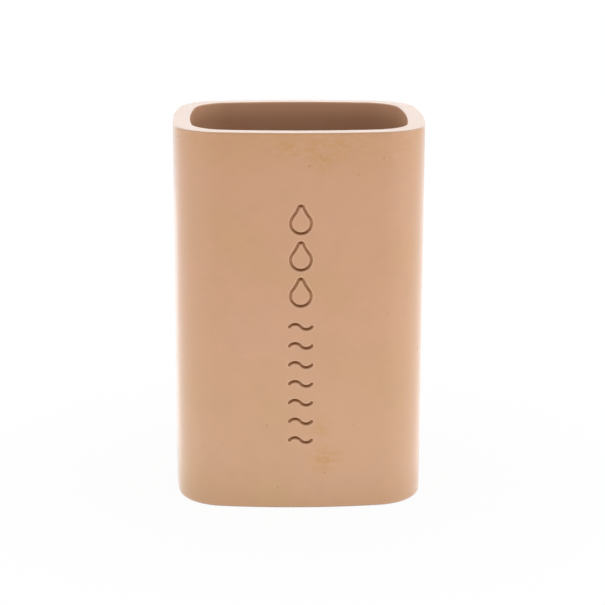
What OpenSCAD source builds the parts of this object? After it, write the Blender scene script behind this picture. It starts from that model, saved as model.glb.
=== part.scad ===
// Bathroom tumbler, cast in one piece from matte resin: a rounded, softly bulged
// four-sided beaker with a thick wall, a column of engraved drops and ripples on
// its front, and four self-adhesive feet seated in sockets under its base.
// The origin is on the table, under the middle of the tumbler. +Z is up, and the
// engraved front faces -Y. All sizes are in millimetres.

/* [Beaker] */
// Width over the bulge of the two narrow faces
body_w = 73; // [66:0.5:84]
// Depth over the bulge of the two wide faces
body_d = 64; // [58:0.5:74]
// Height of the rim above the table
body_h = 110; // [96:1:130]
// Wall thickness at the middle of each face
wall = 5; // [4:0.25:6.5]
// Thickness of the cast floor
floor_t = 7; // [5:0.5:12]
// Radius of the four outer corners, seen from above
corner_r = 14.7; // [12:0.1:18]
// Radius of the four corners of the hollow
hollow_corner_r = 11.5; // [9:0.1:15]
// Angle that a wide face turns through, from its middle to a corner
wide_turn = 8.2; // [5:0.1:11]
// Angle that a narrow face turns through, from its middle to a corner
narrow_turn = 7; // [5:0.1:10]

/* [Edges] */
// Rounding of the rim's outer edge
rim_outer_r = 0.5; // [0.3:0.05:1.2]
// Rounding of the rim's inner edge
rim_inner_r = 0.7; // [0.3:0.05:1.2]
// Rounding of the base's edge
base_r = 1.3; // [0.6:0.05:2.5]
// Rounding where the hollow's walls meet its floor
hollow_floor_r = 5; // [3:0.25:6]

/* [Engraving] */
// Width of an engraved line
line_w = 0.95; // [0.7:0.05:1.1]
// Depth of an engraved line
line_depth = 0.7; // [0.6:0.05:1]
// Chamfer along the lips of an engraved line
lip_c = 0.12; // [0.05:0.01:0.2]
// Radius of a drop's round belly, on the line's centre
drop_r = 2.9; // [2:0.05:3.2]
// Angle above the level at which a drop's belly turns into its flanks
drop_belly_turn = 38; // [34:0.5:42]
// Angle that a drop's flanks lean from upright at its point
drop_point_turn = 22; // [18:0.5:26]
// Number of drops
drop_n = 3; // [1:1:3]
// Distance from one drop to the next
drop_pitch = 10.45; // [10:0.05:11]
// Height of the lowest drop's belly above the table, at its centre
drop_z = 63.7; // [62.5:0.1:65]
// Length of a ripple, between the ends of its line's centre
ripple_len = 6.4; // [5:0.1:7.5]
// Angle between a ripple's line and the level where it crosses its middle
ripple_slope = 50; // [30:1:60]
// Number of ripples
ripple_n = 7; // [1:1:7]
// Distance from one ripple to the next
ripple_pitch = 5.6; // [4.8:0.05:5.8]
// Height of the lowest ripple above the table
ripple_z = 21.2; // [18:0.1:22]

/* [Feet] */
// Diameter of a foot
foot_d = 10; // [7:0.25:12]
// Thickness of a foot
foot_t = 1.5; // [1:0.1:2.5]
// How far the feet lift the base off the table
foot_proud = 0.4; // [0.2:0.05:0.8]
// Rounding of a foot's lower edge
foot_edge_r = 0.3; // [0.1:0.05:0.5]
// Thickness of the double-sided adhesive disc above each foot
adhesive_t = 0.2; // [0.1:0.05:0.4]
// How far an adhesive disc stays inside the edge of its foot
adhesive_inset = 0.5; // [0.1:0.1:1.5]
// Gap all round between a foot and its socket
socket_gap = 0.3; // [0.15:0.05:0.6]
// Distance from the bulge of each face in to the middle of a foot
foot_inset = 14.3; // [12:0.1:17]

/* [Hidden] */
$fa = 2;
$fs = 0.3;
overrun = 1;               // how far a cutter runs past the face that it opens
line_overrun = 0.1;        // the same for an engraved line, whose tight turns leave less room
turn_gap = 0.1;            // what stays between an engraved line's cutter and the centre of its turn
band_share = 0.85;         // share of a corner's radius that the band behind a curved face is wide
core_steps = 6;            // chords along each arc of the core that fills the band
place_steps = 1000;        // whole steps in a millimetre by which place moves first

base_z = foot_proud;
hollow_z = base_z + floor_t;
socket_top = foot_t + adhesive_t;
foot_x = body_w / 2 - foot_inset;
foot_y = body_d / 2 - foot_inset;
face_y = -body_d / 2;
line_reach = line_w / 2 + lip_c + line_overrun;
drop_point_r = line_reach + turn_gap;

// Moves by whole steps and then by what is left, so that a place keeps all of its decimals.
module place(v) {
    whole = [for (c = v) round(c * place_steps) / place_steps];
    translate(whole)
        translate(v - whole)
            children();
}

// Plan outlines. An outline is a list of eight arcs, each tangent to the next, counter-clockwise:
// [[centre x, centre y], radius, start angle, sweep]. It reaches half[0] across X and half[1] across Y
// from the middle, r is the radius of its corners, and its faces turn by wide_turn and narrow_turn.

function plan_arcs(half, r) =
    let (wide_sag = 1 - cos(wide_turn),
         narrow_sag = 1 - cos(narrow_turn),
         common = sin(wide_turn) * sin(narrow_turn) - wide_sag * narrow_sag,
         flat = half - [r, r],
         wide = (flat[0] * sin(narrow_turn) - flat[1] * narrow_sag) / common,
         narrow = (flat[1] * sin(wide_turn) - flat[0] * wide_sag) / common,
         corner = [wide * sin(wide_turn), narrow * sin(narrow_turn)],
         corner_sweep = 90 - wide_turn - narrow_turn,
         half_turn = [[[flat[0] - narrow, 0], narrow + r, -narrow_turn, 2 * narrow_turn],
                      [corner, r, narrow_turn, corner_sweep],
                      [[0, flat[1] - wide], wide + r, 90 - wide_turn, 2 * wide_turn],
                      [[-corner[0], corner[1]], r, 90 + wide_turn, corner_sweep]])
    concat(half_turn, [for (a = half_turn) [-a[0], a[1], a[2] + 180, a[3]]]);

function inset_points(arcs, inset) =
    [for (a = arcs, i = [0 : core_steps - 1])
        let (angle = a[2] + a[3] * i / core_steps)
        a[0] + (a[1] - inset) * [cos(angle), sin(angle)]];

// Sweeps a profile along an arc about the centre, at the radius r.
module arc_sweep(centre, r, start, sweep) {
    place(centre)
        rotate_extrude(angle = sweep, start = start)
            place([r, 0])
                children();
}

// A solid inside an outline with corners of radius r, from bottom up to top. The children are what
// is taken off its section, whose X is the distance outwards from the outline. Their deepest cut
// into the section's side is edge_r.
module block(arcs, r, edge_r, bottom, top) {
    band = r * band_share;
    for (a = arcs)
        arc_sweep(a[0], a[1], a[2], a[3])
            difference() {
                translate([-band, bottom])
                    square([band, top - bottom]);
                children();
            }
    translate([0, 0, bottom])
        linear_extrude(top - bottom)
            polygon(inset_points(arcs, (edge_r + band) / 2));
}

// The waste between a square corner at the origin, whose faces run down and to the left, and
// an arc of radius r that rounds it.
module corner_waste(r) {
    difference() {
        translate([-r, -r])
            square(r + overrun);
        translate([-r, -r])
            circle(r);
    }
}

// Cast body.

body_arcs = plan_arcs([body_w, body_d] / 2, corner_r);
hollow_arcs = plan_arcs([body_w, body_d] / 2 - [wall, wall], hollow_corner_r);

module body_block() {
    block(body_arcs, corner_r, base_r, base_z, body_h) {
        translate([0, body_h])
            corner_waste(rim_outer_r);
        translate([0, base_z])
            mirror([0, 1])
                corner_waste(base_r);
    }
}

module hollow() {
    block(hollow_arcs, hollow_corner_r, hollow_floor_r, hollow_z, body_h + overrun)
        translate([0, hollow_z])
            mirror([0, 1])
                corner_waste(hollow_floor_r);
    for (a = hollow_arcs)
        arc_sweep(a[0], a[1], a[2], a[3])
            translate([0, body_h])
                mirror([1, 0])
                    corner_waste(rim_inner_r);
}

module sockets() {
    for (x = [-foot_x, foot_x], y = [-foot_y, foot_y])
        translate([x, y, base_z - overrun])
            cylinder(h = socket_top - base_z + overrun, r = foot_d / 2 + socket_gap);
}

module tumbler_body() {
    color("#CB9E80")
        difference() {
            body_block();
            hollow();
            sockets();
            engraving();
        }
}

// Engraving. It is drawn on a plane whose X runs to the right, whose Y runs up and whose Z comes
// out of the front face. Every stroke is a chain of arcs that meet at flat ends, and half_line is
// the right half of its section.

module half_line() {
    bottom_z = line_w / 2 - line_depth;
    intersection() {
        translate([0, bottom_z])
            circle(line_w / 2);
        translate([0, -line_depth - line_overrun])
            square(line_w);
    }
    polygon([[0, bottom_z], [line_w / 2, bottom_z], [line_w / 2, -lip_c],
             [line_reach, line_overrun], [0, line_overrun]]);
}

module line_arc(centre, r, start, sweep) {
    arc_sweep(centre, r, start, sweep) {
        half_line();
        mirror([1, 0])
            half_line();
    }
}

// The round end of a line that runs in the direction heading.
module line_end(at, heading) {
    place(at)
        rotate_extrude(angle = 180, start = heading - 90)
            half_line();
}

module drop() {
    flank_r = (drop_r * cos(drop_belly_turn) - drop_point_r * cos(drop_point_turn))
        / (cos(drop_point_turn) - cos(drop_belly_turn));
    flank = (flank_r + drop_r) * [cos(drop_belly_turn), sin(drop_belly_turn)];
    point_y = flank[1] - (flank_r + drop_point_r) * sin(drop_point_turn);
    line_arc([0, 0], drop_r, 180 - drop_belly_turn, 180 + 2 * drop_belly_turn);
    line_arc(flank, flank_r, 180 + drop_point_turn, drop_belly_turn - drop_point_turn);
    line_arc([-flank[0], flank[1]], flank_r, -drop_belly_turn, drop_belly_turn - drop_point_turn);
    line_arc([0, point_y], drop_point_r, drop_point_turn, 180 - 2 * drop_point_turn);
}

module ripple() {
    quarter = ripple_len / 4;
    arc_r = quarter / sin(ripple_slope);
    crest = [quarter, arc_r * cos(ripple_slope)];
    line_arc(crest, arc_r, 270 - ripple_slope, 2 * ripple_slope);
    line_arc(-crest, arc_r, 90 - ripple_slope, 2 * ripple_slope);
    line_end([2 * quarter, 0], ripple_slope);
    line_end([-2 * quarter, 0], ripple_slope + 180);
}

module engraving() {
    translate([0, face_y, 0])
        rotate([90, 0, 0]) {
            for (i = [0 : drop_n - 1])
                translate([0, drop_z + i * drop_pitch])
                    drop();
            for (i = [0 : ripple_n - 1])
                translate([0, ripple_z + i * ripple_pitch])
                    ripple();
        }
}

// Feet and their adhesive.

module foot() {
    color("#D9D7D2")
        rotate_extrude()
            difference() {
                square([foot_d / 2, foot_t]);
                translate([foot_d / 2, 0])
                    mirror([0, 1])
                        corner_waste(foot_edge_r);
            }
}

module foot_at(side_x, side_y) {
    translate([side_x * foot_x, side_y * foot_y])
        foot();
}

module foot_adhesive_discs() {
    color("#EFEDE6")
        for (x = [-foot_x, foot_x], y = [-foot_y, foot_y])
            translate([x, y, foot_t])
                cylinder(h = adhesive_t, r = foot_d / 2 - adhesive_inset);
}

tumbler_body();
foot_at(-1, -1);  // foot_front_left
foot_at(1, -1);  // foot_front_right
foot_at(-1, 1);  // foot_back_left
foot_at(1, 1);  // foot_back_right
foot_adhesive_discs();
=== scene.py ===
# %% [markdown]
# # A bathroom tumbler of cast resin
# The real tumbler is poured in one go. Coloured resin, filled with fine stone powder, runs into a
# silicone mould and comes out with thick walls, soft edges and a matt skin. The lines on its front
# are part of the mould. Only the four small feet under the base are added by hand.
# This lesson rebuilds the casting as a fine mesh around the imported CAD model, gives each piece its
# finish, and lights it the way a shop photograph does. The CAD model keeps the sizes and the place.

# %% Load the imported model
import math
import random

import bmesh
import bpy
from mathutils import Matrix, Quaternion, Vector, noise
from mathutils.bvhtree import BVHTree


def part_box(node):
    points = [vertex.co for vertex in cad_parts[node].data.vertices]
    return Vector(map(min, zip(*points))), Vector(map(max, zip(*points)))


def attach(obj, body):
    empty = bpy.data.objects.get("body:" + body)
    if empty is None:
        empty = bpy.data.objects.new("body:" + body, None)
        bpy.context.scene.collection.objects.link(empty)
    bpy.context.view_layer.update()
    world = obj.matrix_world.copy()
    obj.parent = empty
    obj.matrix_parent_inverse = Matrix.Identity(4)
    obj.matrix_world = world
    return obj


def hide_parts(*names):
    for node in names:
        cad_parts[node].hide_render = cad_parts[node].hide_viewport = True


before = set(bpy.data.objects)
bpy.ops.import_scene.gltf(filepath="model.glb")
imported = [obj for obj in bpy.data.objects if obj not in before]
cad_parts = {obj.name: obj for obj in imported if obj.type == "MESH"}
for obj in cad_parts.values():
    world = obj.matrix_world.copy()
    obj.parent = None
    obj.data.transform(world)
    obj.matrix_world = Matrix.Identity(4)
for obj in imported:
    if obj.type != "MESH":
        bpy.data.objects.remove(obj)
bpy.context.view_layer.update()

MM = 0.001

# %% [markdown]
# ## The camera
# The photograph was taken with a long lens from a little above the rim, almost square to the front.
# Its direction and distance decide how much of the hollow shows. They were found by fitting the
# rim, the sides and the base of a model like this one to the picture. The object sits slightly off
# the middle of the frame, which a small lens shift repeats without turning the camera.

# %% Place the camera
PHOTO_PIXELS = 605
FOCAL_PIXELS = 1931.4
AIM_PIXEL = (298.0, 298.5)
SENSOR_MM = 36.0
AIM_HEIGHT = 55 * MM
CAMERA_DISTANCE = 576.1 * MM
CAMERA_AZIMUTH = math.radians(-1.43)
CAMERA_ELEVATION = math.radians(14.2)
CAMERA_ROLL = math.radians(0.13)

backwards = Vector((
    math.sin(CAMERA_AZIMUTH) * math.cos(CAMERA_ELEVATION),
    -math.cos(CAMERA_AZIMUTH) * math.cos(CAMERA_ELEVATION),
    math.sin(CAMERA_ELEVATION),
))
camera = bpy.data.objects.new("front_camera", bpy.data.cameras.new("front_camera"))
bpy.context.scene.collection.objects.link(camera)
camera.location = Vector((0, 0, AIM_HEIGHT)) + backwards * CAMERA_DISTANCE
camera.rotation_mode = "QUATERNION"
camera.rotation_quaternion = (-backwards).to_track_quat("-Z", "Y") @ Quaternion((0, 0, 1), CAMERA_ROLL)
camera.data.sensor_width = SENSOR_MM
camera.data.lens = FOCAL_PIXELS / PHOTO_PIXELS * SENSOR_MM
camera.data.shift_x = 0.5 - AIM_PIXEL[0] / PHOTO_PIXELS
camera.data.shift_y = AIM_PIXEL[1] / PHOTO_PIXELS - 0.5
bpy.context.scene.camera = camera
print("lens in mm:", round(camera.data.lens, 2))

# %% [markdown]
# ## The plan of the tumbler
# Seen from above, the tumbler is neither a rectangle nor an oval. Its four faces bulge a little and
# run smoothly into four round corners. That is a ring of eight arcs, each tangent to the next. A
# Bezier curve could follow it, but arcs are what a toolmaker would draw, and they have a helpful
# property: each point is known by the direction in which its surface looks. That direction, called
# turn here, is the same for the outside and for the hollow, so one number places a whole column of
# vertices round the rim.

# %% Outline of the outside and of the hollow
WIDE_TURN = math.radians(8.2)
NARROW_TURN = math.radians(7.0)
WALL = 5 * MM
CORNER_R = 14.7 * MM
HOLLOW_CORNER_R = 11.5 * MM

body_low, body_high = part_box("tumbler_body")
BASE_Z = body_low.z
RIM_Z = body_high.z
HALF_WIDTH = (body_high.x - body_low.x) / 2
HALF_DEPTH = (body_high.y - body_low.y) / 2


def plan(half_width, half_depth, corner_r):
    """Centre x, centre y and radius of the narrow face's, the corner's and the wide face's arc."""
    wide_sag = 1 - math.cos(WIDE_TURN)
    narrow_sag = 1 - math.cos(NARROW_TURN)
    common = math.sin(WIDE_TURN) * math.sin(NARROW_TURN) - wide_sag * narrow_sag
    flat_x = half_width - corner_r
    flat_y = half_depth - corner_r
    wide = (flat_x * math.sin(NARROW_TURN) - flat_y * narrow_sag) / common
    narrow = (flat_y * math.sin(WIDE_TURN) - flat_x * wide_sag) / common
    return {
        "narrow": (flat_x - narrow, 0.0, narrow + corner_r),
        "corner": (wide * math.sin(WIDE_TURN), narrow * math.sin(NARROW_TURN), corner_r),
        "wide": (0.0, flat_y - wide, wide + corner_r),
    }


def on_plan(arcs, turn, out=0.0):
    """The point of the outline whose surface looks in the direction turn, moved outwards by out."""
    east, north = math.cos(turn), math.sin(turn)
    lean = math.atan2(abs(north), abs(east))
    if lean < NARROW_TURN:
        x, y, r = arcs["narrow"]
    elif lean > math.pi / 2 - WIDE_TURN:
        x, y, r = arcs["wide"]
    else:
        x, y, r = arcs["corner"]
    x += (r + out) * math.cos(lean)
    y += (r + out) * math.sin(lean)
    return math.copysign(x, east), math.copysign(y, north)


outside = plan(HALF_WIDTH, HALF_DEPTH, CORNER_R)
hollow = plan(HALF_WIDTH - WALL, HALF_DEPTH - WALL, HOLLOW_CORNER_R)
print("radius of a wide face in mm:", round(outside["wide"][2] / MM, 1))

# %% [markdown]
# ## Where the columns of vertices stand
# A curve needs more columns where it turns quickly, and a flat stretch needs few. The exception is
# the band in the middle of the front: the engraved lines there are about a millimetre wide, so the
# columns stand a tenth of a millimetre apart. The list starts at the middle of the front and goes
# round counter-clockwise, stretch by stretch.

# %% Columns round the outline
FRONT_TURN = -math.pi / 2
BAND_HALF_WIDTH = 4.4 * MM
FINE_STEP = 0.11 * MM
WIDE_COLUMNS = 10
CORNER_COLUMNS = 30
NARROW_COLUMNS = 14

corner_turn = math.pi / 2 - WIDE_TURN - NARROW_TURN
band_turn = math.asin(BAND_HALF_WIDTH / outside["wide"][2])
band_columns = round(BAND_HALF_WIDTH / FINE_STEP)
band = (band_turn, band_columns)
shoulder = (WIDE_TURN - band_turn, WIDE_COLUMNS)
corner = (corner_turn, CORNER_COLUMNS)
side = (2 * NARROW_TURN, NARROW_COLUMNS)
back = (2 * WIDE_TURN, 2 * WIDE_COLUMNS)

column_turns = []
turn = FRONT_TURN
for sweep, count in [band, shoulder, corner, side, corner, back, corner, side, corner, shoulder, band]:
    column_turns += [turn + sweep * step / count for step in range(count)]
    turn += sweep
print("columns:", len(column_turns))

# %% [markdown]
# ## The section of the wall
# Cut through the wall, the casting shows a rounded base edge, a straight outer face, a rim with two
# small roundings and a flat top, a straight inner face, and a wide fillet down to the floor. Each
# point of that section becomes one ring of vertices: how far it lies outside the outline, and its
# height. A ring set just beside each rounding keeps the smooth shading from bleeding over the flat
# stretch next to it.

# %% Rings of the section
BASE_R = 1.3 * MM
RIM_OUTER_R = 0.5 * MM
RIM_INNER_R = 0.4 * MM
FLOOR_THICKNESS = 7 * MM
FLOOR_FILLET_R = 5 * MM
ROW_STEP = 5 * MM
SUPPORT = 0.3 * MM
BASE_STEPS = 8
RIM_OUTER_STEPS = 6
RIM_INNER_STEPS = 7
FLOOR_FILLET_STEPS = 12

hollow_z = BASE_Z + FLOOR_THICKNESS


def rounding(out, z, r, start, end, steps):
    """Section points of an edge rounded about (out, z), from start to end in degrees."""
    angles = [math.radians(start + (end - start) * step / steps) for step in range(steps + 1)]
    return [(out + r * math.cos(angle), z + r * math.sin(angle)) for angle in angles]


def rows(start_z, end_z):
    """Section points up or down a straight face, a little closer together than ROW_STEP."""
    count = math.ceil(abs(end_z - start_z) / ROW_STEP)
    return [(0.0, start_z + (end_z - start_z) * step / count) for step in range(1, count)]


base_edge_top = BASE_Z + BASE_R
outer_section = (
    rounding(-BASE_R, base_edge_top, BASE_R, -90, 0, BASE_STEPS)
    + [(0.0, base_edge_top + SUPPORT)]
    + rows(base_edge_top + SUPPORT, RIM_Z - RIM_OUTER_R - SUPPORT)
    + [(0.0, RIM_Z - RIM_OUTER_R - SUPPORT)]
    + rounding(-RIM_OUTER_R, RIM_Z - RIM_OUTER_R, RIM_OUTER_R, 0, 90, RIM_OUTER_STEPS)
    + [(-RIM_OUTER_R - SUPPORT, RIM_Z)]
)
fillet_top = hollow_z + FLOOR_FILLET_R
inner_section = (
    [(RIM_INNER_R + SUPPORT, RIM_Z)]
    + rounding(RIM_INNER_R, RIM_Z - RIM_INNER_R, RIM_INNER_R, 90, 180, RIM_INNER_STEPS)
    + [(0.0, RIM_Z - RIM_INNER_R - SUPPORT)]
    + rows(RIM_Z - RIM_INNER_R - SUPPORT, fillet_top + SUPPORT)
    + [(0.0, fillet_top + SUPPORT)]
    + rounding(-FLOOR_FILLET_R, fillet_top, FLOOR_FILLET_R, 0, -90, FLOOR_FILLET_STEPS)
    + [(-FLOOR_FILLET_R - SUPPORT, hollow_z)]
)
print("rings outside and inside:", len(outer_section), len(inner_section))

# %% [markdown]
# ## A casting is never quite flat
# Resin shrinks a little as it sets, so the faces of the real tumbler waver by a few hundredths of a
# millimetre. Nobody sees that as a shape, but it breaks up the light on the long faces. A smooth
# noise of two sizes pulls each ring inwards by a changing amount. It only ever pulls inwards, so
# the casting stays inside its measured size.

# %% Waver of the faces
WAVER = 0.07 * MM
WAVER_LENGTHS = ((34 * MM, 0.7), (13 * MM, 0.3))


def waver(point):
    """How far a face lies inside its ideal place at this point."""
    total = sum(share * (0.5 + 0.5 * noise.noise(point / length)) for length, share in WAVER_LENGTHS)
    return WAVER * total


middle_of_front = Vector((0, -HALF_DEPTH, (BASE_Z + RIM_Z) / 2))
print("waver in the middle of the front, in mm:", round(waver(middle_of_front) / MM, 3))

# %% [markdown]
# ## Pulling the walls up
# The walls could be made from a cylinder, but then every loop would have to be cut and moved. It is
# simpler to start from a circle with the right number of vertices, lay it on the plan, and pull its
# edges up, over the rim and down into the hollow, one ring at a time. Each vertex carries its turn
# in a layer of its own, and extruding copies it, so every new vertex knows which column it is in.
# Two more layers wait for the painted shade of the pinholes and the grooves, and for the painted
# highlight on the grooves' lips.

# %% A mesh that remembers its columns
shell = bmesh.new()
turn_layer = shell.verts.layers.float.new("turn")
# The first of the two layers below holds painted shade for the pinholes and the grooves, the second a
# painted highlight for the grooves' lips.
painted_shade_layer = shell.verts.layers.float.new("painted_shade")
lip_highlight_layer = shell.verts.layers.float.new("lip_highlight")


def lay(verts, arcs, out, z):
    """Lays a ring of vertices on an outline at the height z, drawn in by the waver there."""
    for vert in verts:
        x, y = on_plan(arcs, vert[turn_layer], out)
        x, y = on_plan(arcs, vert[turn_layer], out - waver(Vector((x, y, z))))
        vert.co = (x, y, z)


def extruded(edges):
    """Extrudes a loop of edges, and returns the vertices and the edges of the new loop."""
    grown = bmesh.ops.extrude_edge_only(shell, edges=edges)["geom"]
    verts = {item for item in grown if isinstance(item, bmesh.types.BMVert)}
    loop = [
        item for item in grown
        if isinstance(item, bmesh.types.BMEdge) and verts.issuperset(item.verts)
    ]
    return verts, loop


def pull(edges, arcs, out, z):
    """Extrudes a ring of edges, lays the new ring on an outline, and returns its edges."""
    verts, ring = extruded(edges)
    lay(verts, arcs, out, z)
    return ring


print("values at each vertex:", shell.verts.layers.float.keys())

# %% Extrude ring after ring
OUTER_SKIN, HOLLOW_SKIN = 0, 1

start = bmesh.ops.create_circle(shell, radius=HALF_WIDTH, segments=len(column_turns))["verts"]
for vert in start:
    place = math.atan2(vert.co.y, vert.co.x) / math.tau
    vert[turn_layer] = column_turns[round(place * len(column_turns)) % len(column_turns)]
lay(start, outside, -BASE_R - SUPPORT, BASE_Z)
base_ring = list(shell.edges)
ring = base_ring
for out, z in outer_section:
    ring = pull(ring, outside, out, z)
for out, z in inner_section:
    ring = pull(ring, hollow, out, z)
    skin = HOLLOW_SKIN if z < RIM_Z - RIM_INNER_R / 2 else OUTER_SKIN
    for edge in ring:
        edge.link_faces[0].material_index = skin
floor = bmesh.ops.contextual_create(shell, geom=ring)["faces"][0]
floor.material_index = HOLLOW_SKIN
print("faces of the walls:", len(shell.faces))

# %% [markdown]
# ## The underside and its sockets
# Each foot sits in a shallow round socket that the mould leaves in the base. A boolean would cut
# them, but it leaves a messy mesh. Instead the flat underside is filled between its outer ring and
# four circles, which leaves four clean holes, and the circles are then pulled up and closed.

# %% Fill the base and sink the sockets
FEET = ("foot_front_left", "foot_front_right", "foot_back_left", "foot_back_right")
SOCKET_GAP = 0.3 * MM
SOCKET_SEGMENTS = 64
socket_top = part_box("foot_adhesive_discs")[1].z

mouths = []
for name in FEET:
    low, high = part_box(name)
    middle = (low + high) / 2
    socket_r = (high.x - low.x) / 2 + SOCKET_GAP
    circle = bmesh.ops.create_circle(shell, radius=socket_r, segments=SOCKET_SEGMENTS)["verts"]
    bmesh.ops.translate(shell, verts=circle, vec=(middle.x, middle.y, BASE_Z))
    mouths.append(list({edge for vert in circle for edge in vert.link_edges}))
loops = base_ring + [edge for mouth in mouths for edge in mouth]
bmesh.ops.triangle_fill(shell, edges=loops, use_beauty=True, normal=(0, 0, -1))
for mouth in mouths:
    verts, ceiling = extruded(mouth)
    bmesh.ops.translate(shell, verts=list(verts), vec=(0, 0, socket_top - BASE_Z))
    bmesh.ops.contextual_create(shell, geom=ceiling)
open_edges = [edge for edge in shell.edges if len(edge.link_faces) != 2]
print("open edges:", len(open_edges))

# %% [markdown]
# ## Pinholes
# Air bubbles that touch the mould leave pinholes in the skin of a casting, a few tenths of a
# millimetre wide. Each one is pressed into the mesh: the faces around its place are cut into a
# small grid with planes, and the grid is pushed in like a dimple. The places on the front are
# listed as millimetres along the outline from the middle of the front, a height and a
# radius. Those on the other faces are strewn with a fixed seed.

# %% Distances along the outline
half_way_round = [
    (WIDE_TURN, outside["wide"][2]), (corner_turn, CORNER_R), (2 * NARROW_TURN, outside["narrow"][2]),
    (corner_turn, CORNER_R), (WIDE_TURN, outside["wide"][2]),
]
half_length = sum(sweep * r for sweep, r in half_way_round)


def turn_at(distance):
    """The turn of the outline at a distance along it, counter-clockwise from the front's middle."""
    left_over = abs(distance)
    turned = 0.0
    for sweep, r in half_way_round:
        step = min(left_over, sweep * r)
        turned += step / r
        left_over -= step
    return FRONT_TURN + math.copysign(turned, distance)


print("once round the tumbler in mm:", round(2 * half_length / MM, 1))

# %% Press the pinholes
FRONT_PINHOLES = (
    (-37.7, 107.6, 0.26), (2.3, 100.8, 0.22), (16.0, 98.2, 0.22), (-29.6, 74.4, 0.17),
    (23.1, 102.6, 0.20), (5.6, 103.6, 0.17), (-9.6, 25.6, 0.20), (7.0, 11.4, 0.24), (-6.6, 6.9, 0.18),
    (-22.6, 19.4, 0.18), (15.0, 25.6, 0.16), (24.7, 58.2, 0.15), (-16.4, 47.0, 0.15),
    (-13.2, 9.5, 0.12), (-12.2, 8.9, 0.13), (-11.3, 8.2, 0.11), (-20.6, 76.8, 0.12), (-19.8, 73.9, 0.12),
)
STREWN_PINHOLES = 24
STREWN_SEED = 11
STREWN_DISTANCE_SHARES = (0.3, 1.0)
STREWN_HEIGHT_SHARES = (0.04, 0.96)
STREWN_RADII = (0.13, 0.28)
PINHOLE_REACH_SHARE = 2
PINHOLE_CUT_SHARES = (-1.8, -1.0, -0.5, 0.0, 0.5, 1.0, 1.8)
PINHOLE_DEPTH_SHARE = 0.8
PINHOLE_BOWL = 0.7
PINHOLE_PAINTED_SHADE = 0.5
CUT_TOLERANCE = 1e-7


def press_pinhole(distance, z, r):
    """Cuts a small grid into the outer face around a place and presses a dimple there."""
    turn = turn_at(distance)
    out_way = Vector((math.cos(turn), math.sin(turn), 0))
    level_way = Vector((-math.sin(turn), math.cos(turn), 0))
    surface = BVHTree.FromBMesh(shell)
    centre = surface.find_nearest(Vector((*on_plan(outside, turn), z)))[0]
    shell.faces.ensure_lookup_table()
    found = surface.find_nearest_range(centre, PINHOLE_REACH_SHARE * r)
    faces = [shell.faces[index] for _, _, index, _ in found]
    geom = list({item for face in faces for item in (face, *face.edges, *face.verts)})
    for way in (level_way, Vector((0, 0, 1))):
        for share in PINHOLE_CUT_SHARES:
            geom = bmesh.ops.bisect_plane(
                shell, geom=geom, plane_co=centre + way * (r * share), plane_no=way, dist=CUT_TOLERANCE,
            )["geom"]
    for vert in {item for item in geom if isinstance(item, bmesh.types.BMVert)}:
        near = 1 - ((vert.co - centre).length / r) ** 2
        if near > 0:
            vert.co -= out_way * (r * PINHOLE_DEPTH_SHARE * near ** PINHOLE_BOWL)
            # The bottom of the pinhole gets painted shade.
            vert[painted_shade_layer] = PINHOLE_PAINTED_SHADE * near


for distance, z, r in FRONT_PINHOLES:
    press_pinhole(distance * MM, z * MM, r * MM)
dice = random.Random(STREWN_SEED)
for _ in range(STREWN_PINHOLES):
    distance = dice.choice((-1, 1)) * dice.uniform(*STREWN_DISTANCE_SHARES) * half_length
    height = dice.uniform(*STREWN_HEIGHT_SHARES) * RIM_Z
    press_pinhole(distance, height, dice.uniform(*STREWN_RADII) * MM)
print("pinholes:", len(FRONT_PINHOLES) + STREWN_PINHOLES)

# %% [markdown]
# ## A fine grid for the engraving
# The engraved lines are real grooves, so they need real vertices. Only the band where they run gets
# them: its upright edges are cut in two rounds, first in a slightly wider band and then in the band
# itself, so that the mesh goes from coarse to fine in steps. Beside the band the faces simply take
# the extra points along one side.

# %% Cut the front band finely
BAND_BOTTOM = 15 * MM
BAND_TOP = 95 * MM
FIRST_MARGIN = 2 * MM
FIRST_CUTS = 4
SECOND_CUTS = 8
SAME_TURN = 1e-6

front_y = -HALF_DEPTH + WALL / 2


def cut_upright_edges(half_width, cuts):
    """Cuts the upright edges of the front face between the two heights of the band."""
    upright = [
        edge for edge in shell.edges
        if all(abs(v.co.x) < half_width and v.co.y < front_y for v in edge.verts)
        and all(BAND_BOTTOM < v.co.z < BAND_TOP for v in edge.verts)
        and abs(edge.verts[0][turn_layer] - edge.verts[1][turn_layer]) < SAME_TURN
    ]
    bmesh.ops.subdivide_edges(shell, edges=upright, cuts=cuts, use_grid_fill=True)


cut_upright_edges(BAND_HALF_WIDTH + FIRST_MARGIN, FIRST_CUTS)
cut_upright_edges(BAND_HALF_WIDTH + FINE_STEP / 2, SECOND_CUTS)
print("faces after the cuts:", len(shell.faces))

# %% [markdown]
# ## The strokes
# A plain ornament runs up the front: three drops above seven ripples, all cut with one line. Both
# are drawn with arcs alone. A drop is a round belly, two flanks that curve the other way, and a
# small round point, each tangent to the next. A ripple is two arcs that meet in its middle. An arc
# is kept as its centre, its radius, its first angle and its sweep, which makes the distance from
# any vertex to the line a matter of a few sums.

# %% Draw the drops and the ripples as arcs
DROP_R = 2.9 * MM
DROP_POINT_R = 0.795 * MM
DROP_BELLY_TURN = 38
DROP_POINT_TURN = 22
DROPS = 3
LOWEST_DROP_Z = 63.7 * MM
DROP_STEP = 10.45 * MM
RIPPLES = 7
LOWEST_RIPPLE_Z = 21.2 * MM
RIPPLE_STEP = 5.6 * MM
RIPPLE_LENGTH = 6.4 * MM
RIPPLE_SLOPE = 50


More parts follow.
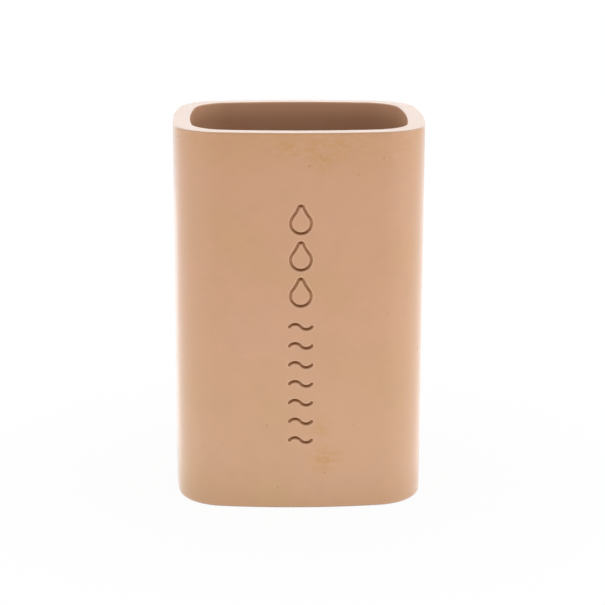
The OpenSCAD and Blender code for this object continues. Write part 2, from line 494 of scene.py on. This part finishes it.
def drop(z):
    """The arcs of a drop whose belly has its centre at the height z."""
    belly, point = math.radians(DROP_BELLY_TURN), math.radians(DROP_POINT_TURN)
    overlap = DROP_R * math.cos(belly) - DROP_POINT_R * math.cos(point)
    flank_r = overlap / (math.cos(point) - math.cos(belly))
    flank_x = (flank_r + DROP_R) * math.cos(belly)
    flank_z = z + (flank_r + DROP_R) * math.sin(belly)
    point_z = flank_z - (flank_r + DROP_POINT_R) * math.sin(point)
    lean = DROP_BELLY_TURN - DROP_POINT_TURN
    return [
        (0.0, z, DROP_R, 180 - DROP_BELLY_TURN, 180 + 2 * DROP_BELLY_TURN),
        (flank_x, flank_z, flank_r, 180 + DROP_POINT_TURN, lean),
        (-flank_x, flank_z, flank_r, -DROP_BELLY_TURN, lean),
        (0.0, point_z, DROP_POINT_R, DROP_POINT_TURN, 180 - 2 * DROP_POINT_TURN),
    ]


def ripple(z):
    """The arcs of a ripple whose middle is at the height z."""
    slope = math.radians(RIPPLE_SLOPE)
    quarter = RIPPLE_LENGTH / 4
    r = quarter / math.sin(slope)
    rise = r * math.cos(slope)
    return [
        (quarter, z + rise, r, 270 - RIPPLE_SLOPE, 2 * RIPPLE_SLOPE),
        (-quarter, z - rise, r, 90 - RIPPLE_SLOPE, 2 * RIPPLE_SLOPE),
    ]


strokes = [drop(LOWEST_DROP_Z + DROP_STEP * number) for number in range(DROPS)]
strokes += [ripple(LOWEST_RIPPLE_Z + RIPPLE_STEP * number) for number in range(RIPPLES)]
print("arcs to engrave:", sum(len(stroke) for stroke in strokes))

# %% [markdown]
# ## Pressing the grooves
# A sharp chisel leaves a V, but these grooves come from a mould: a narrow round bottom, steep sides
# and lips that are slightly soft. One formula gives the depth from the distance to the line. A
# second one gives the shade painted there, as a value at each vertex: thick and dark in a level
# stroke, as light from above would leave it, and thin and pale in an upright one. A third value
# marks the lips, which get a painted highlight.

# %% Distance to a stroke
TINY = 1e-9


def beside_arc(x, z, arc):
    """How far a point of the front is from an arc, and how level the arc runs there, from 0 to 1."""
    centre_x, centre_z, r, start_angle, sweep = arc
    aside, up = x - centre_x, z - centre_z
    beyond = (math.degrees(math.atan2(up, aside)) - start_angle) % 360
    if beyond <= sweep:
        away = math.hypot(aside, up)
        return abs(away - r), abs(up) / max(away, TINY)
    ends = [math.radians(start_angle), math.radians(start_angle + sweep)]
    return min(
        (math.hypot(aside - r * math.cos(end), up - r * math.sin(end)), abs(math.sin(end)))
        for end in ends
    )


belly = strokes[0][0]
print("from a belly's centre to its line in mm:", round(beside_arc(belly[0], belly[1], belly)[0] / MM, 2))

# %% Sink the vertices along the strokes
GROOVE_DEPTH = 0.75 * MM
LINE_HALF_WIDTH = 0.475 * MM
SOFT_LIP = 0.12 * MM
GROOVE_REACH = LINE_HALF_WIDTH + SOFT_LIP
GROOVE_STEEPNESS = 1.8
UPRIGHT_PAINTED_SHADE = 0.2
UPRIGHT_SPREAD = 0.4
LIP_HIGHLIGHT_WIDTH = 0.3 * MM
STROKE_ROOM = DROP_R + 6 * MM


def groove_share(distance):
    """Depth of the groove at this distance from its line, from 1 in the middle to 0 at its lip."""
    if distance >= GROOVE_REACH:
        return 0.0
    return (1 - (distance / GROOVE_REACH) ** 2) ** GROOVE_STEEPNESS


def groove_painted_shade(share, level):
    """Painted shade at a share of the depth: a thin dark line in a level stroke, a broad pale one
    upright.
    """
    thickness = UPRIGHT_PAINTED_SHADE + (1 - UPRIGHT_PAINTED_SHADE) * level ** 2
    return thickness * share ** (UPRIGHT_SPREAD + level)


sunk = 0
for vert in shell.verts:
    x, y, z = vert.co
    if y > front_y or abs(x) > BAND_HALF_WIDTH or not BAND_BOTTOM < z < BAND_TOP:
        continue
    near = [arc for stroke in strokes if abs(z - stroke[0][1]) < STROKE_ROOM for arc in stroke]
    distance, level = min((beside_arc(x, z, arc) for arc in near), default=(BAND_HALF_WIDTH, 0))
    share = groove_share(distance)
    # A painted highlight along the lips of the groove.
    vert[lip_highlight_layer] = max(0.0, 1 - abs(distance - GROOVE_REACH) / LIP_HIGHLIGHT_WIDTH)
    # Shade painted into the groove, thicker and darker in level strokes.
    vert[painted_shade_layer] = max(groove_painted_shade(share, level), vert[painted_shade_layer])
    vert.co.y += GROOVE_DEPTH * share
    sunk += share > 0
print("sunk vertices:", sunk)

# %% [markdown]
# ## From bmesh to object
# The normals are made to look outwards once the shell is closed. Smooth shading suits a casting,
# but not the square edges of the sockets, so edges steeper than a set angle stay sharp. The object
# is then hung on the root body, and the CAD body that it replaces is hidden.

# %% Make the casting
SHARP_ANGLE = math.radians(62)

bmesh.ops.recalc_face_normals(shell, faces=shell.faces)
print("volume in cubic cm:", round(shell.calc_volume() / MM**3 / 1000, 2))
cast_mesh = bpy.data.meshes.new("cast_beaker")
shell.to_mesh(cast_mesh)
shell.free()
cast_mesh.shade_smooth()
cast_mesh.set_sharp_from_angle(angle=SHARP_ANGLE)
cast_beaker = bpy.data.objects.new("cast_beaker", cast_mesh)
bpy.context.scene.collection.objects.link(cast_beaker)
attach(cast_beaker, "root")
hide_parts("tumbler_body")
cast_mesh.calc_loop_triangles()
print("triangles:", len(cast_mesh.loop_triangles))

# %% [markdown]
# ## Helpers for the finishes
# Every finish below is a small tree of nodes. A helper adds a node, sets its plain values and
# wires its inputs in one call, so that each tree reads from top to bottom like a recipe. Patterns
# read Object coordinates, which are metres here, so a noise scale of 50 has features of 20 mm. A
# few shapes of node come back in finish after finish, so they have helpers of their own.

# %% Node helpers
RELIEF_DEPTH = 0.05 * MM


def new_finish(name):
    """A new material, with its nodes, its shader and the Object coordinates that a recipe needs."""
    material = bpy.data.materials.new(name)
    material.use_nodes = True
    tree = material.node_tree
    shader = tree.nodes["Principled BSDF"]
    coordinates = tree.nodes.new("ShaderNodeTexCoord").outputs["Object"]
    return material, tree, shader, coordinates


def add(tree, kind, inputs, **settings):
    """Adds a node, sets its properties, and fills its inputs with values or links."""
    node = tree.nodes.new("ShaderNode" + kind)
    for name, value in settings.items():
        setattr(node, name, value)
    for name, value in inputs.items():
        if isinstance(value, bpy.types.NodeSocket):
            tree.links.new(value, node.inputs[name])
        else:
            node.inputs[name].default_value = value
    return node


def product(tree, one, other):
    """One value or socket times another."""
    return add(tree, "Math", {0: one, 1: other}, operation="MULTIPLY").outputs["Value"]


def mottle(tree, coordinates, scale, detail, roughness):
    """A cloudy noise around 0.5."""
    inputs = {"Vector": coordinates, "Scale": scale, "Detail": detail, "Roughness": roughness}
    return add(tree, "TexNoise", inputs).outputs["Fac"]


def eased(tree, value, start, end, at_start, at_end):
    """A soft step of a value: at_start until start is reached, and at_end from end on."""
    inputs = {"Value": value, "From Min": start, "From Max": end, "To Min": at_start, "To Max": at_end}
    return add(tree, "MapRange", inputs, interpolation_type="SMOOTHSTEP").outputs["Result"]


def height_of(tree, coordinates):
    """The height of the shaded point above the table."""
    return add(tree, "SeparateXYZ", {"Vector": coordinates}).outputs["Z"]


def painted(tree, layer):
    """The value that a layer of the mesh has at the shaded point."""
    return add(tree, "Attribute", {}, attribute_name=layer).outputs["Fac"]


def roughen(tree, shader, height, strength):
    """Gives a skin a relief too fine for the mesh."""
    relief = add(tree, "Bump", {"Strength": strength, "Distance": RELIEF_DEPTH, "Height": height})
    tree.links.new(relief.outputs["Normal"], shader.inputs["Normal"])


painted_shade_vertices = sum(entry.value > 0 for entry in cast_mesh.attributes["painted_shade"].data)
print("vertices that the finishes can read dirt from:", painted_shade_vertices)

# %% Colour helpers


def ramp(tree, factor, stops):
    """A colour ramp with the given (position, colour) stops."""
    node = add(tree, "ValToRGB", {"Fac": factor})
    elements = node.color_ramp.elements
    for element, (position, colour) in zip(elements, (stops[0], stops[-1])):
        element.position = position
        element.color = colour
    for position, colour in stops[1:-1]:
        elements.new(position).color = colour
    return node.outputs["Color"]


def grey(level):
    """An opaque grey, which also serves as a plain number in a ramp."""
    return (level, level, level, 1)


def srgb(red, green, blue):
    """A colour as a picture editor shows it, from 0 to 255, as the linear colour that a shader wants."""
    def linear(value):
        value /= 255
        return value / 12.92 if value <= 0.04045 else ((value + 0.055) / 1.055) ** 2.4

    return (linear(red), linear(green), linear(blue), 1)


def blended(tree, factor, below, above, blend_type="MIX"):
    """One colour over another."""
    inputs = {"Fac": factor, "Color1": below, "Color2": above}
    return add(tree, "MixRGB", inputs, blend_type=blend_type).outputs["Color"]


def put_on(thing, *materials):
    """Makes these the materials of an object, in the order of its faces' material numbers."""
    numbers = [face.material_index for face in thing.data.polygons]
    thing.data.materials.clear()
    for material in materials:
        thing.data.materials.append(material)
    thing.data.polygons.foreach_set("material_index", numbers)


print("faces in the hollow:", sum(face.material_index == HOLLOW_SKIN for face in cast_mesh.polygons))

# %% [markdown]
# ## Colour of the resin
# Close up, the casting isn't one colour. The pigment drifts between a pinker and a yellower clay in
# patches a few centimetres wide, with a fine cloudiness inside them. Two noises do that: a large
# one picks a place on a colour ramp, and a small one multiplies the result by a little more or less
# than one. The clay is also mixed a little towards a pale greyish green low down.

# %% Clay colour
CLAY_STOPS = [(0.34, srgb(209, 157, 109)), (0.46, srgb(211, 157, 114)), (0.66, srgb(214, 159, 119))]
CLOUD_STOPS = [(0.3, grey(0.975)), (0.7, grey(1.015))]
# The clay turns a little greyer and greener towards the bottom.
LOW_TINT_COLOUR = srgb(208, 198, 146)
LOW_TINT_SHARE = 0.1
LOW_TINT_HEIGHT = 75 * MM


def clay(tree, coordinates):
    """The drifting clay colour, and the fine noise that clouds it."""
    drift = mottle(tree, coordinates, scale=38.0, detail=3.0, roughness=0.55)
    colour = ramp(tree, drift, CLAY_STOPS)
    sunk = eased(tree, height_of(tree, coordinates), 0.0, LOW_TINT_HEIGHT, LOW_TINT_SHARE, 0.0)
    colour = blended(tree, sunk, colour, LOW_TINT_COLOUR)
    cloud = mottle(tree, coordinates, scale=210.0, detail=5.0, roughness=0.6)
    level = ramp(tree, cloud, CLOUD_STOPS)
    return blended(tree, 1.0, colour, level, "MULTIPLY"), cloud


print("pinkest clay, linear:", [round(part, 3) for part in CLAY_STOPS[-1][1][:3]])

# %% [markdown]
# ## Stains
# Wet hands leave a yellowish film: a faint one all along the lip, and a few patches lower down.
# Each patch is a soft ball of influence round a point on the front, given in millimetres across
# and up, with its radius and its strength, so it needs no picture and no unwrapping. A noise breaks
# its edge up, because a film never dries as a clean disc, and the noise is squeezed in height,
# because water dries in level runs.

# %% Film and patches
FILM_COLOUR = srgb(204, 147, 78)
LIP_FILM_HEIGHT = 14 * MM
LIP_FILM_SHARE = 0.4
FILM_GAPS = [(0.4, grey(0.15)), (0.6, grey(1))]
STAIN_SQUEEZE = (1, 1, 2.2)
STAINS = (
    (-3.5, 106.0, 6.5, 0.9), (3.5, 106.0, 6.5, 0.9), (10.5, 106.0, 6.5, 0.8), (5.5, 102.5, 5.5, 1.0),
    (6.9, 15.5, 7.0, 0.9), (5.8, 25.0, 5.5, 0.7), (-29.0, 18.0, 5.0, 0.4), (-31.0, 42.0, 6.0, 0.3),
)


def stained(tree, coordinates, colour):
    """Lays the film of the lip and the patches of the front over a colour."""
    film = eased(tree, height_of(tree, coordinates), RIM_Z - LIP_FILM_HEIGHT, RIM_Z, 0.0, LIP_FILM_SHARE)
    for x, z, r, strength in STAINS:
        place = (x * MM, -HALF_DEPTH, z * MM)
        away = add(tree, "VectorMath", {0: coordinates, 1: place}, operation="DISTANCE").outputs["Value"]
        patch = eased(tree, away, 0.0, r * MM, strength, 0.0)
        film = add(tree, "Math", {0: film, 1: patch}, operation="MAXIMUM").outputs["Value"]
    squeezed = add(tree, "VectorMath", {0: coordinates, 1: STAIN_SQUEEZE}, operation="MULTIPLY")
    ragged = mottle(tree, squeezed.outputs["Vector"], scale=420.0, detail=4.0, roughness=0.65)
    amount = product(tree, film, ramp(tree, ragged, FILM_GAPS))
    return blended(tree, amount, colour, FILM_COLOUR)


print("patches:", len(STAINS))

# %% [markdown]
# ## Painted shade and highlight
# Two layers of the mesh come in here. The painted shade is a dark brown that covers the bottom of the
# grooves and the pinholes, and the painted highlight is a paler clay along the lips of the grooves.

# %% Painted shade and highlight in the grooves
# A dark brown painted shade for the grooves and pinholes, and a paler clay painted as a highlight on the
# lips.
PAINTED_SHADE_COLOUR = srgb(116, 69, 36)
PAINTED_SHADE_COVER = 0.95
PAINTED_HIGHLIGHT_COLOUR = srgb(232, 194, 162)
PAINTED_HIGHLIGHT_COVER = 0.55


def groove_shade_and_highlight(tree, colour):
    """Paints a highlight on the lips of the grooves and paints shade into their bottoms."""
    painted_light = product(tree, painted(tree, "lip_highlight"), PAINTED_HIGHLIGHT_COVER)
    painted_shade_amount = product(tree, painted(tree, "painted_shade"), PAINTED_SHADE_COVER)
    return blended(tree, painted_shade_amount, blended(tree, painted_light, colour, PAINTED_HIGHLIGHT_COLOUR), PAINTED_SHADE_COLOUR)


print("share of the clay that the thickest dirt hides:", PAINTED_SHADE_COVER)

# %% [markdown]
# ## The two skins of the casting
# The outside came out of a smooth mould and was sealed with a thin satin coat, which turns pale where
# one looks along it. Where shade is painted into the grooves and pinholes, the coat, the sheen and the
# specular fade there too. The hollow was formed by the mould's core and left as it came out, so it is
# duller, and water that dried in it left a greyish film. Light is painted on its top, paler towards the
# lip. Both are the same resin, so one recipe makes both. A very fine noise as bump is the stone powder in
# the skin.

# %% Dried water and painted light in the hollow
SCALE_COLOUR = srgb(132, 122, 119)
SCALE_SHARE = 0.25
# A paler clay painted as light on the top of the hollow, towards the lip.
MOUTH_PAINTED_LIGHT_COLOUR = srgb(243, 190, 152)
MOUTH_PAINTED_LIGHT_SHARE = 0.55
MOUTH_PAINTED_LIGHT_DEPTH = 6 * MM


def scale_and_mouth_light(tree, coordinates, colour):
    """Greys the hollow with the film of dried water, and paints light near the lip, paler towards it."""
    colour = blended(tree, SCALE_SHARE, colour, SCALE_COLOUR)
    painted_light = eased(tree, height_of(tree, coordinates), RIM_Z - MOUTH_PAINTED_LIGHT_DEPTH, RIM_Z, 0.0, MOUTH_PAINTED_LIGHT_SHARE)
    return blended(tree, painted_light, colour, MOUTH_PAINTED_LIGHT_COLOUR)


print("rubbed pale from this height in mm:", round((RIM_Z - MOUTH_PAINTED_LIGHT_DEPTH) / MM, 1))

# %% Outer skin and skin of the hollow


def resin(name, smoothest, roughest, in_hollow):
    """The resin of the casting as one of its two skins, with that skin's range of roughness."""
    material, tree, shader, coordinates = new_finish(name)
    colour, cloud = clay(tree, coordinates)
    if in_hollow:
        colour = scale_and_mouth_light(tree, coordinates, colour)
    else:
        colour = groove_shade_and_highlight(tree, stained(tree, coordinates, colour))
    tree.links.new(colour, shader.inputs["Base Color"])
    skin = ramp(tree, cloud, [(0.3, grey(smoothest)), (0.7, grey(roughest))])
    tree.links.new(skin, shader.inputs["Roughness"])
    powder = mottle(tree, coordinates, scale=2600.0, detail=2.0, roughness=0.5)
    roughen(tree, shader, powder, strength=0.12)
    print(name, "has", len(tree.nodes), "nodes")
    return material, tree, shader


outer_resin, tree, shader = resin("coated_resin", smoothest=0.32, roughest=0.42, in_hollow=False)
shader.inputs["IOR"].default_value = 1.55
shader.inputs["Coat Roughness"].default_value = 0.3
shader.inputs["Sheen Roughness"].default_value = 0.25
# Where shade is painted, the coat, the sheen and the specular fade too.
painted_shade = painted(tree, "painted_shade")
for gloss, clean in (("Coat Weight", 0.8), ("Sheen Weight", 0.3), ("Specular IOR Level", 0.5)):
    dulled = add(tree, "MapRange", {"Value": painted_shade, "To Min": clean, "To Max": 0.0})
    tree.links.new(dulled.outputs["Result"], shader.inputs[gloss])
hollow_resin, _, _ = resin("uncoated_resin", smoothest=0.5, roughest=0.6, in_hollow=True)
put_on(cast_beaker, outer_resin, hollow_resin)

# %% [markdown]
# ## Feet and tape
# The feet are small discs of milky silicone. Light goes a little way into silicone, so it gets some
# subsurface scattering, a soft shine and a fine haze. The tape that holds them is matt, off-white
# and slightly fibrous. Both show only when the tumbler is seen from below.

# %% Silicone feet
silicone, tree, shader, coordinates = new_finish("foot_silicone")
haze = mottle(tree, coordinates, scale=900.0, detail=4.0, roughness=0.6)
milk = ramp(tree, haze, [(0.35, srgb(208, 207, 202)), (0.7, srgb(222, 221, 216))])
tree.links.new(milk, shader.inputs["Base Color"])
gloss = ramp(tree, haze, [(0.3, grey(0.34)), (0.7, grey(0.46))])
tree.links.new(gloss, shader.inputs["Roughness"])
roughen(tree, shader, haze, strength=0.2)
shader.inputs["Subsurface Weight"].default_value = 0.25
shader.inputs["Subsurface Scale"].default_value = 0.6 * MM
for name in FEET:
    put_on(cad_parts[name], silicone)
print("silicone feet:", len(FEET))

# %% Tape
tape, tree, shader, coordinates = new_finish("double_sided_tape")
fibres = mottle(tree, coordinates, scale=1500.0, detail=6.0, roughness=0.7)
paper = ramp(tree, fibres, [(0.3, srgb(226, 222, 210)), (0.7, srgb(240, 237, 228))])
tree.links.new(paper, shader.inputs["Base Color"])
shader.inputs["Roughness"].default_value = 0.6
put_on(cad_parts["foot_adhesive_discs"], tape)
print("finishes:", [material.name for material in (outer_resin, hollow_resin, silicone, tape)])

# %% [markdown]
# ## Floor
# A shop photograph of this kind is shot on a white sweep that comes out as pure white. The floor
# here is matt white, and for the camera it is mostly plain white light, so that it melts into the
# white background and keeps only a trace of the tumbler's shadow. Every other ray sees it as the
# real matt floor, which throws soft light back up at the faces.

# %% Sheet of the floor
FLOOR_HALF_SIZE = 3.0

sheet = bmesh.new()
bmesh.ops.create_grid(sheet, x_segments=1, y_segments=1, size=FLOOR_HALF_SIZE)
floor_mesh = bpy.data.meshes.new("white_floor")
sheet.to_mesh(floor_mesh)
sheet.free()
white_floor = bpy.data.objects.new("white_floor", floor_mesh)
bpy.context.scene.collection.objects.link(white_floor)
print("side of the floor in metres:", 2 * FLOOR_HALF_SIZE)

# %% White finish of the floor
FLOOR_WHITE = grey(0.86)
SHADOW_REACH = 0.15
NEAR_WHITE_SHARE = 0.95


def seen_as_background(tree):
    """1 for the rays that see the backdrop itself, or its image in something glossy or clear."""
    path = add(tree, "LightPath", {})
    seen = path.outputs["Is Camera Ray"]
    for kind in ("Is Glossy Ray", "Is Transmission Ray"):
        seen = add(tree, "Math", {0: seen, 1: path.outputs[kind]}, operation="MAXIMUM").outputs["Value"]
    return seen


floor_finish, tree, shader, coordinates = new_finish("white_floor")
shader.inputs["Base Color"].default_value = FLOOR_WHITE
shader.inputs["Roughness"].default_value = 0.9
plain_white = add(tree, "Emission", {"Color": grey(1), "Strength": 1.0})
distance = add(tree, "VectorMath", {0: coordinates}, operation="LENGTH").outputs["Value"]
whiteness = eased(tree, distance, 0.0, SHADOW_REACH, NEAR_WHITE_SHARE, 1.0)
share = product(tree, seen_as_background(tree), whiteness)
mixed = add(tree, "MixShader", {0: share, 1: shader.outputs["BSDF"], 2: plain_white.outputs["Emission"]})
tree.links.new(mixed.outputs["Shader"], tree.nodes["Material Output"].inputs["Surface"])
put_on(white_floor, floor_finish)
print("nodes of the floor's finish:", len(tree.nodes))

# %% [markdown]
# ## Light
# The front of the tumbler is evenly lit, its sides are brighter and its rim is nearly white. A white
# tent on a light table does that. Two wide walls stand beside the tumbler, one behind it, and two
# panels hang above it. A narrow card by the camera fills in the front. The table shines up at the
# faces, but less close to the tumbler, which stands in its own light there: that is why the faces
# darken a little towards the base. Their strengths were found by rendering each light alone and
# fitting the sum to the photograph. The world is white for the camera and for reflections, and a
# dim grey for everything else, so that the panels shape the object. Places and sizes are in metres
# here, and strengths in watts.

# %% World
AMBIENT_STRENGTH = 0.32

world = bpy.data.worlds.new("studio")
bpy.context.scene.world = world
world.use_nodes = True
tree = world.node_tree
ambient = tree.nodes["Background"]
ambient.inputs["Color"].default_value = grey(1)
ambient.inputs["Strength"].default_value = AMBIENT_STRENGTH
white = add(tree, "Background", {"Color": grey(1), "Strength": 1.0})
backdrop = add(tree, "MixShader", {
    0: seen_as_background(tree), 1: ambient.outputs["Background"], 2: white.outputs["Background"],
})
tree.links.new(backdrop.outputs["Shader"], tree.nodes["World Output"].inputs["Surface"])
print("ambient light:", AMBIENT_STRENGTH)

# %% The walls of the tent
LIT_POINT = Vector((0, 0, 60 * MM))
TENT = (
    ("left_wall", (-0.95, -0.25, 0.32), 1.4, 0.9, 3.35),
    ("right_wall", (0.95, -0.25, 0.32), 1.4, 0.9, 4.9),
    ("back_wall", (0.0, 1.2, 0.45), 2.2, 0.9, 3.7),
    ("ceiling", (0.0, 0.4, 1.05), 1.4, 1.4, 1.7),
    ("front_ceiling", (0.0, -0.35, 0.95), 1.0, 0.4, 0.4),
    ("front_card", (0.0, -0.8, 0.08), 1.0, 0.16, 0.1),
)


def panel(name, place, width, height, power):
    """A rectangular soft light that faces the tumbler."""
    lamp = bpy.data.lights.new(name, "AREA")
    lamp.shape = "RECTANGLE"
    lamp.size = width
    lamp.size_y = height
    lamp.energy = power
    holder = bpy.data.objects.new(name, lamp)
    bpy.context.scene.collection.objects.link(holder)
    holder.location = place
    holder.rotation_euler = (LIT_POINT - Vector(place)).to_track_quat("-Z", "Y").to_euler()
    holder.visible_camera = False
    return holder


for name, place, width, height, power in TENT:
    panel(name, place, width, height, power)
print("watts of the tent:", round(sum(entry[-1] for entry in TENT), 2))

# %% The light table
TABLE_HALF_SIZE = 0.445
TABLE_DIM_HALF = Vector((0.05, 0.045))
TABLE_DIM_SHARE = 0.5
TABLE_Z = 0.001
TABLE_POWER_PER_AREA = 1.5


def table_panel(name, low, high, share=1.0):
    """A light in the table top between two corners, facing straight up."""
    width, depth = high[0] - low[0], high[1] - low[1]
    place = Vector(((low[0] + high[0]) / 2, (low[1] + high[1]) / 2, TABLE_Z))
    lamp = panel(name, place, width, depth, TABLE_POWER_PER_AREA * width * depth * share)
    lamp.rotation_euler = (math.pi, 0, 0)


far = TABLE_HALF_SIZE
dim_x, dim_y = TABLE_DIM_HALF
table_panel("table_front", (-far, -far), (far, -dim_y))
table_panel("table_back", (-far, dim_y), (far, far))
table_panel("table_left", (-far, -dim_y), (-dim_x, dim_y))
table_panel("table_right", (dim_x, -dim_y), (far, dim_y))
table_panel("table_middle", (-dim_x, -dim_y), (dim_x, dim_y), TABLE_DIM_SHARE)

# %% [markdown]
# ## Plain colours
# Blender's usual view softens bright colours the way film does. Clay and white paper should come
# out as they were written, so the picture is shown through the plain standard view.

# %% Set the view
view = bpy.context.scene.view_settings
view.view_transform = "Standard"
print("view:", view.view_transform)
